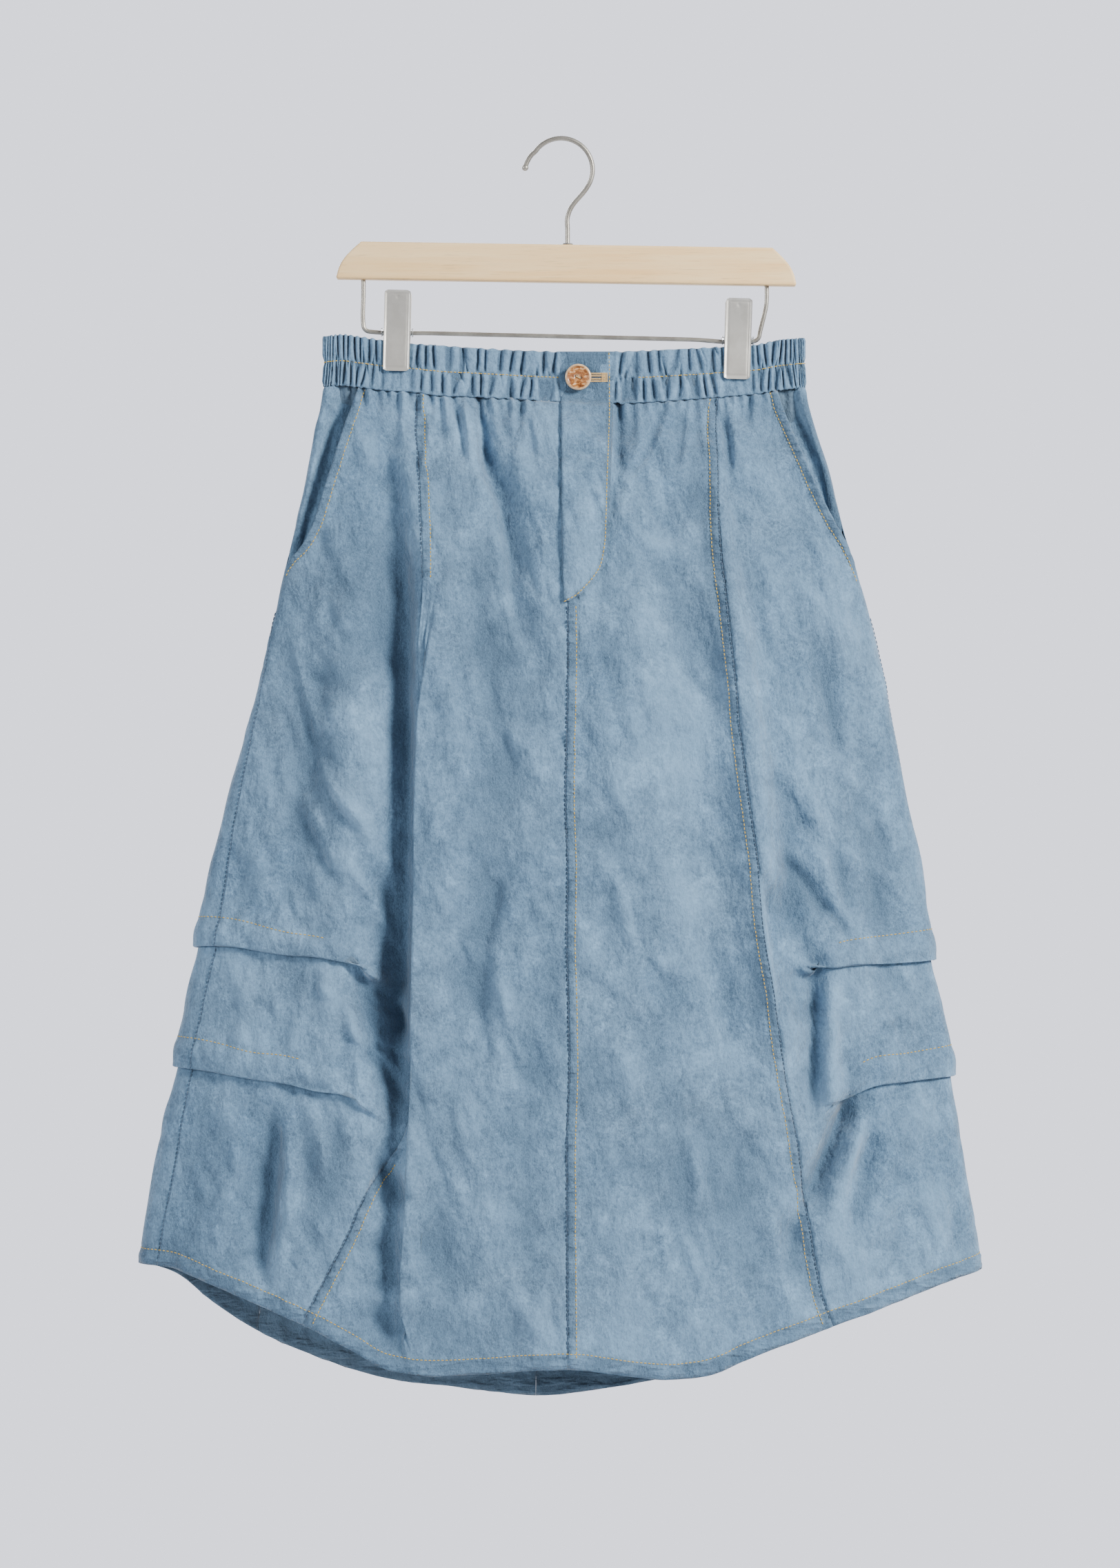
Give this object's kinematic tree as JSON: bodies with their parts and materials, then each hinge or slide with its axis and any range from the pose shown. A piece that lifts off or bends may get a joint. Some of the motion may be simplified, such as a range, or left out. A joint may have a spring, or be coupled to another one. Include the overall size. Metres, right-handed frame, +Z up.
{
  "type": "midi skirt on a wooden clip hanger",
  "caption": "Midi skirt with a gathered band, buttoned fly, slant pockets and folded tucks, hung flat by two clips from a wooden hanger.",
  "frame": {"origin": "inner top of the hanger's hook, where a rail carries it", "axes": "+Z up, the skirt's front faces -Y, +X is to the right as seen from the front"},
  "size_m": [0.6624, 0.1338, 0.996],
  "materials": {
    "cloth": "matt, mottled and creased",
    "wood": "smooth, thinly lacquered",
    "metal": "satin nickel",
    "shell": "polished shell",
    "clear_plastic": "clear, glossy"
  },
  "bodies": {
    "root": {"waistband_front_left": "cloth", "waistband_front_right": "cloth", "waistband_back": "cloth", "fly_placket": "cloth", "front_centre_left": "cloth", "front_centre_right": "cloth", "front_side_left": "cloth", "front_side_right": "cloth", "pocket_backing_left": "cloth", "pocket_backing_right": "cloth", "back_centre_left": "cloth", "back_centre_right": "cloth", "back_side_left": "cloth", "back_side_right": "cloth", "hanger_hook": "metal", "hanger_rail": "metal", "clip_left_front": "metal", "clip_left_back": "metal", "clip_left_spring": "metal", "clip_right_front": "metal", "clip_right_back": "metal", "clip_right_spring": "metal", "grommet_left_0": "clear_plastic", "grommet_left_1": "clear_plastic", "grommet_right_0": "clear_plastic", "grommet_right_1": "clear_plastic", "button": "shell", "hanger_bar": "wood"}
  },
  "joints": []
}
